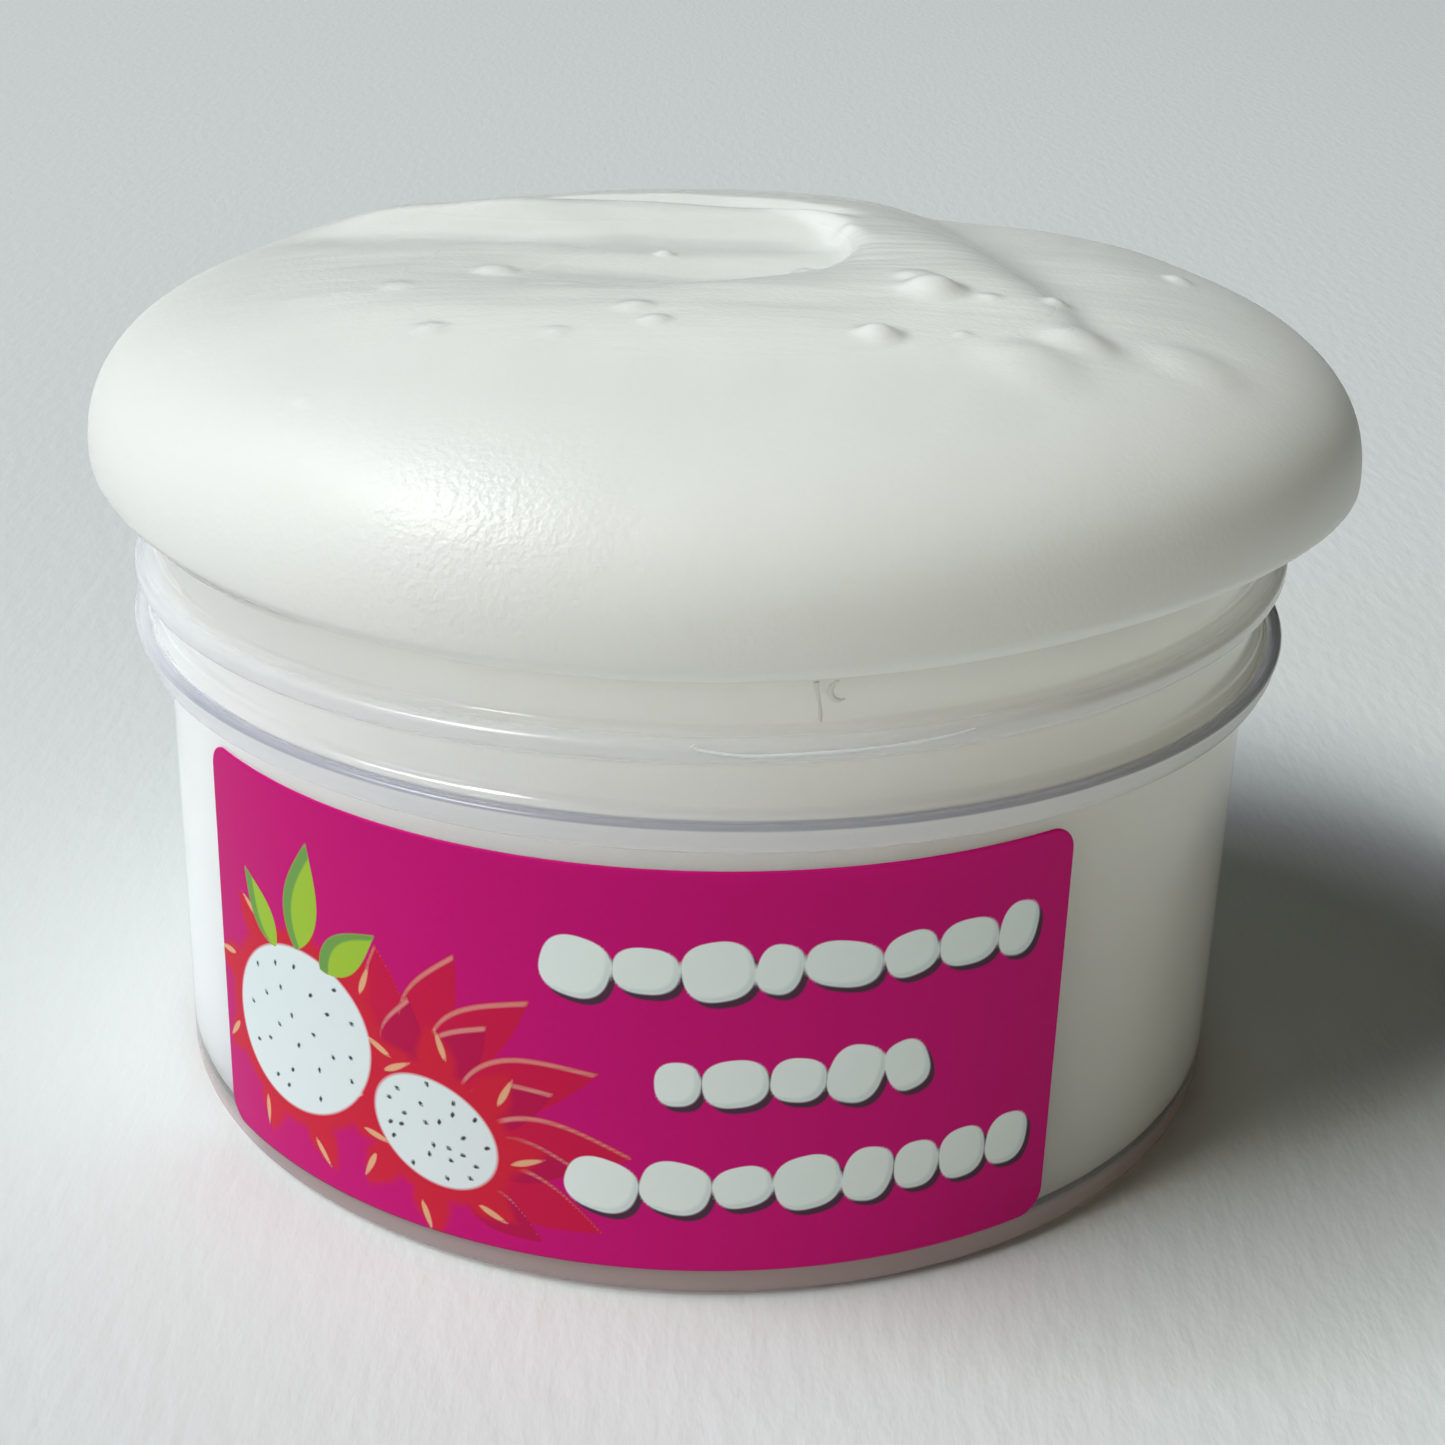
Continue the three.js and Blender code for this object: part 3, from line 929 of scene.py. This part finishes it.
skin = {
    "colour": "#F3F3EF",
    "ior": 1.49,
    "specular": 0.36,
    "subsurface": 0.9,
    "redGreenBlue": (1.0, 0.95, 0.8),  # how far each colour of light spreads, as a share
    "spreadHeights": (45.0, 49.5),  # below the first the jar's fill, above the second the cap's skin
    "spreads": (45.0, 0.6),  # how far light goes in each
    "flankHeights": (64.5, 56.0),  # the crown ends at the first and the flank is reached at the second
    "flankRoughness": (0.27, 0.54),  # on the crown and on the flank
    "wrinkle": (8.333, 1.613, 1.613),  # a drag line's length, and its width both ways
    "wrinkleDepth": 0.4,
    "wrinkleStrengths": (0.12, 0.04),  # on the crown and on the flank
    "wetSpot": (-15.5, -41.0, 56.0),  # where the flank stays wet and its pores glint
    "wetReach": (13.0, 2.0),
    "wetRoughness": 0.35,
    "pore": 0.4348,  # across
    "poreDepth": 0.2,
    "poreStrengths": (0.12, 0.42),  # where the skin is dry and where it is wet
}


def makeWhippedFluff():
    # whipped sugar foam: dense white; in the jar light spreads through it for centimetres, over the
    # rim it stays near a skin with fine pores and drag lines, satin on the crown, duller on the flank
    # and wet in one place; the pores are drawn coarser than real ones, so that they show
    material, tree = newMaterial("whipped marshmallow fluff")
    spot = addNode(tree, "ShaderNodeTexCoord").outputs["Object"]
    level = addNode(tree, "ShaderNodeSeparateXYZ", {"Vector": spot}).outputs["Z"]
    centre = {0: spot, 1: tuple(side * mm for side in skin["wetSpot"])}
    away = addNode(tree, "ShaderNodeVectorMath", centre, operation="DISTANCE").outputs["Value"]
    inJar, inCap = skin["spreads"]
    flank, wet, spread = [
        addNode(
            tree,
            "ShaderNodeMapRange",
            {
                "Value": value,
                "From Min": start * mm,
                "From Max": end * mm,
                "To Min": least,
                "To Max": most,
            },
            interpolation_type="SMOOTHSTEP",
        ).outputs["Result"]
        for value, (start, end), least, most in (
            (level, skin["flankHeights"], 0.0, 1.0),
            (away, skin["wetReach"], 0.0, 1.0),
            (level, skin["spreadHeights"], inJar * mm, inCap * mm),
        )
    ]
    poreStrength, wrinkleStrength, satin = [
        addNode(tree, "ShaderNodeMapRange", {"Value": share, "To Min": start, "To Max": end})
        for share, (start, end) in (
            (wet, skin["poreStrengths"]),
            (flank, skin["wrinkleStrengths"]),
            (flank, skin["flankRoughness"]),
        )
    ]
    mix = {"Factor": wet, "A": satin.outputs["Result"], "B": skin["wetRoughness"]}
    gloss = addNode(tree, "ShaderNodeMix", mix).outputs["Result"]
    grain = 1 / (skin["pore"] * mm)
    pores = addNode(tree, "ShaderNodeTexNoise", {"Vector": spot, "Scale": grain, "Detail": 1.0})
    fine = addNode(
        tree,
        "ShaderNodeBump",
        {
            "Height": pores.outputs["Fac"],
            "Strength": poreStrength.outputs["Result"],
            "Distance": skin["poreDepth"] * mm,
        },
    )
    drawn = tuple(1 / (size * mm) for size in skin["wrinkle"])
    stretched = addNode(tree, "ShaderNodeMapping", {"Vector": spot, "Scale": drawn}).outputs["Vector"]
    wrinkles = addNode(tree, "ShaderNodeTexNoise", {"Vector": stretched, "Scale": 1.0, "Detail": 1.0})
    both = addNode(
        tree,
        "ShaderNodeBump",
        {
            "Height": wrinkles.outputs["Fac"],
            "Strength": wrinkleStrength.outputs["Result"],
            "Distance": skin["wrinkleDepth"] * mm,
            "Normal": fine.outputs["Normal"],
        },
    )
    shader = addNode(
        tree,
        "ShaderNodeBsdfPrincipled",
        {
            "Base Color": linear(skin["colour"]),
            "Roughness": gloss,
            "IOR": skin["ior"],
            "Specular IOR Level": skin["specular"],
            "Subsurface Weight": skin["subsurface"],
            "Subsurface Radius": skin["redGreenBlue"],
            "Subsurface Scale": spread,
            "Normal": both.outputs["Normal"],
        },
        subsurface_method="BURLEY",
    )
    addNode(tree, "ShaderNodeOutputMaterial", {"Surface": shader.outputs["BSDF"]})
    return material


flashPaintedHighlight = {  # thin moulded flash, coloured white as a painted highlight: pale and still glossy
    "name": "flash painted white as highlight",
    "colour": "#FAFAFC",
    "roughness": 0.25,
}
driedSmear = {  # a thin smear of fluff dried on plastic: matt and a little yellow
    "name": "dried fluff smear",
    "colour": "#F4F3EC",
    "roughness": 0.5,
}


def makeBeadFinish(finish):
    # the one even colour and gloss of a thin bead
    material, tree = newMaterial(finish["name"])
    colour = linear(finish["colour"])
    look = {"Base Color": colour, "Roughness": finish["roughness"], "IOR": plastic["ior"]}
    shader = addNode(tree, "ShaderNodeBsdfPrincipled", look)
    addNode(tree, "ShaderNodeOutputMaterial", {"Surface": shader.outputs["BSDF"]})
    return material


film = {
    "ground": ("#CC0C77", "#D2107C"),
    "mottle": 0.4545,  # across a fleck of the ground's colour
    "grain": 0.2,  # across
    "grainDepth": 0.1,
    "grainStrength": 0.1,
    "roughness": 0.5,
    "ior": 1.5,
    "specular": 0.1,
}
inks = [  # from the bottom ink to the top one: attribute, colour, half width of its soft edge
    ("inkPetal", "#D2184A", 0.05),
    ("inkPetalDeep", "#C01350", 0.05),
    ("inkEdge", "#E58C86", 0.09),
    ("inkRind", "#D8233F", 0.35),
    ("inkTip", "#EDB48C", 0.06),
    ("inkFlesh", "#EAF4F6", 0.12),
    ("inkSeed", "#3B4452", 0.05),
    ("inkLeaf", "#A6CB3E", 0.05),
    ("inkLeafDark", "#74A552", 0.1),
    ("inkShade", "#553449", 0.06),
    ("inkPuff", "#F0FAF8", 0.05),
    ("inkPuffShade", "#DCE8E8", 0.12),
]


def makePrintedFilm():
    # satin printed film: flat inks over a magenta ground with the faint mottle of a desktop print;
    # its patterns read the place on the flat label, which is in mm
    material, tree = newMaterial("satin printed label film")
    spot = addNode(tree, "ShaderNodeAttribute", attribute_name="printPlace").outputs["Vector"]
    mottle, grain = [
        addNode(tree, "ShaderNodeTexNoise", {"Vector": spot, "Scale": 1 / film[key], "Detail": detail})
        for key, detail in (("mottle", 3.0), ("grain", 2.0))
    ]
    darker, lighter = [linear(colour) for colour in film["ground"]]
    mix = {"Factor": mottle.outputs["Fac"], "A": darker, "B": lighter}
    colour = addNode(tree, "ShaderNodeMix", mix, data_type="RGBA").outputs["Result"]
    for name, ink, edge in inks:
        depth = addNode(tree, "ShaderNodeAttribute", attribute_name=name).outputs["Fac"]
        ramp = {"Value": depth, "From Min": -edge, "From Max": edge}
        cover = addNode(tree, "ShaderNodeMapRange", ramp).outputs["Result"]
        mix = {"Factor": cover, "A": colour, "B": linear(ink)}
        colour = addNode(tree, "ShaderNodeMix", mix, data_type="RGBA").outputs["Result"]
    bump = addNode(
        tree,
        "ShaderNodeBump",
        {
            "Height": grain.outputs["Fac"],
            "Strength": film["grainStrength"],
            "Distance": film["grainDepth"] * mm,
        },
    )
    shader = addNode(
        tree,
        "ShaderNodeBsdfPrincipled",
        {
            "Base Color": colour,
            "Roughness": film["roughness"],
            "IOR": film["ior"],
            "Specular IOR Level": film["specular"],
            "Normal": bump.outputs["Normal"],
        },
    )
    addNode(tree, "ShaderNodeOutputMaterial", {"Surface": shader.outputs["BSDF"]})
    return material


# pieces on the frame


def dress(piece, material, node):
    # a finished piece rides the one body and stands for a node of the frame
    piece.data.materials.append(material)
    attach(piece, "root")
    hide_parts(node)


def dressBeads(lines, finish, node):
    # beads of one finish
    material = makeBeadFinish(finish)
    for line in lines:
        dress(makeBead(line), material, node)


dress(makeJarShell(), makePolypropylene(), "jar")
dressBeads(highlightFlashLines, flashPaintedHighlight, "jar")
print("jar made")
dress(makeFluffMound(), makeWhippedFluff(), "mallow")
dressBeads(smears, driedSmear, "mallow")
print("fluff made")
dress(makeLabelSheet(), makePrintedFilm(), "label")
print("label made")

# table and light

table = {
    "side": 5000.0,
    "colour": "#E4E6E6",
    "roughness": 0.6,
    "grain": (1.613, 4.762, 1.613),  # narrow across the view and long away from its front
    "grainDepth": 0.5,
    "grainStrength": 0.32,
}


def makeTableBoard():
    # matt white drawing board, very slightly cool, with a felt grain that runs away from the front
    material, tree = newMaterial("matt white board")
    place = addNode(tree, "ShaderNodeTexCoord").outputs["Object"]
    scale = tuple(1 / (size * mm) for size in table["grain"])
    drawn = addNode(tree, "ShaderNodeMapping", {"Vector": place, "Scale": scale}).outputs["Vector"]
    grain = addNode(tree, "ShaderNodeTexNoise", {"Vector": drawn, "Scale": 1.0, "Detail": 3.0})
    bump = addNode(
        tree,
        "ShaderNodeBump",
        {
            "Height": grain.outputs["Fac"],
            "Strength": table["grainStrength"],
            "Distance": table["grainDepth"] * mm,
        },
    )
    shader = addNode(
        tree,
        "ShaderNodeBsdfPrincipled",
        {
            "Base Color": linear(table["colour"]),
            "Roughness": table["roughness"],
            "Normal": bump.outputs["Normal"],
        },
    )
    addNode(tree, "ShaderNodeOutputMaterial", {"Surface": shader.outputs["BSDF"]})
    return material


def makeTable():
    # a flat square sheet under the jar
    half = table["side"] / 2 * mm
    points = [(-half, -half, 0), (half, -half, 0), (half, half, 0), (-half, half, 0)]
    mesh = bpy.data.meshes.new("tableTop")
    mesh.from_pydata(points, [], [(0, 1, 2, 3)])
    mesh.materials.append(makeTableBoard())
    newObject("tableTop", mesh)


lampDistance = 6000
lampAim = (0, 0, 40)
lamps = [  # softboxes: azimuth and elevation, sides, power in W, colour
    {"name": "window", "angles": (193, 57), "size": (3000, 1380), "power": 254, "tint": "#F7FFFC"},
    {"name": "windowFront", "angles": (218, 50), "size": (700, 800), "power": 36, "tint": "#FFFCE4"},
    {"name": "windowBack", "angles": (161, 59), "size": (1380, 1800), "power": 54, "tint": "#E9EEFF"},
    {"name": "frontLow", "angles": (213, 25), "size": (2000, 1380), "power": 40, "tint": "#DAD6FF"},
    {"name": "roomFront", "angles": (280, 13), "size": (3600, 2600), "power": 40, "tint": "#FFF6D2"},
    {"name": "roomBack", "angles": (93, 27), "size": (3000, 2000), "power": 14, "tint": "#F2FAEC"},
]


def makeLamps():
    # each softbox stands off the jar's middle and faces it, its first side level
    middle = Vector(lampAim) * mm
    for lamp in lamps:
        azimuth, elevation = np.radians(lamp["angles"])
        flat = np.cos(elevation)
        away = Vector((np.cos(azimuth) * flat, np.sin(azimuth) * flat, np.sin(elevation)))
        level = Vector((-np.sin(azimuth), np.cos(azimuth), 0))
        data = bpy.data.lights.new(lamp["name"], "AREA")
        data.shape = "RECTANGLE"
        data.size, data.size_y = [side * mm for side in lamp["size"]]
        data.energy = lamp["power"]
        data.color = linear(lamp["tint"])[:3]
        spot = middle + away * lampDistance * mm
        newObject(lamp["name"], data).matrix_world = placeFacing(level, away.cross(level), away, spot)


room = {"light": "#E4E2CE", "strength": 0.01, "wall": "#C3CBC9", "wallStrength": 1.0}


def makeRoom():
    # a dim even room round the table, with a pale wall past its far edge
    world = bpy.data.worlds.new("room")
    world.use_nodes = True
    tree = world.node_tree
    tree.nodes.clear()
    glows = [
        {"Color": linear(room["light"]), "Strength": room["strength"]},
        {"Color": linear(room["wall"]), "Strength": room["wallStrength"]},
    ]
    dim, wall = [addNode(tree, "ShaderNodeBackground", glow).outputs["Background"] for glow in glows]
    seen = addNode(tree, "ShaderNodeLightPath").outputs["Is Camera Ray"]
    both = addNode(tree, "ShaderNodeMixShader", {0: seen, 1: dim, 2: wall})
    addNode(tree, "ShaderNodeOutputWorld", {"Surface": both.outputs["Shader"]})
    bpy.context.scene.world = world


makeTable()
makeLamps()
makeRoom()
bpy.context.scene.view_settings.view_transform = "Standard"
print("table and light made")
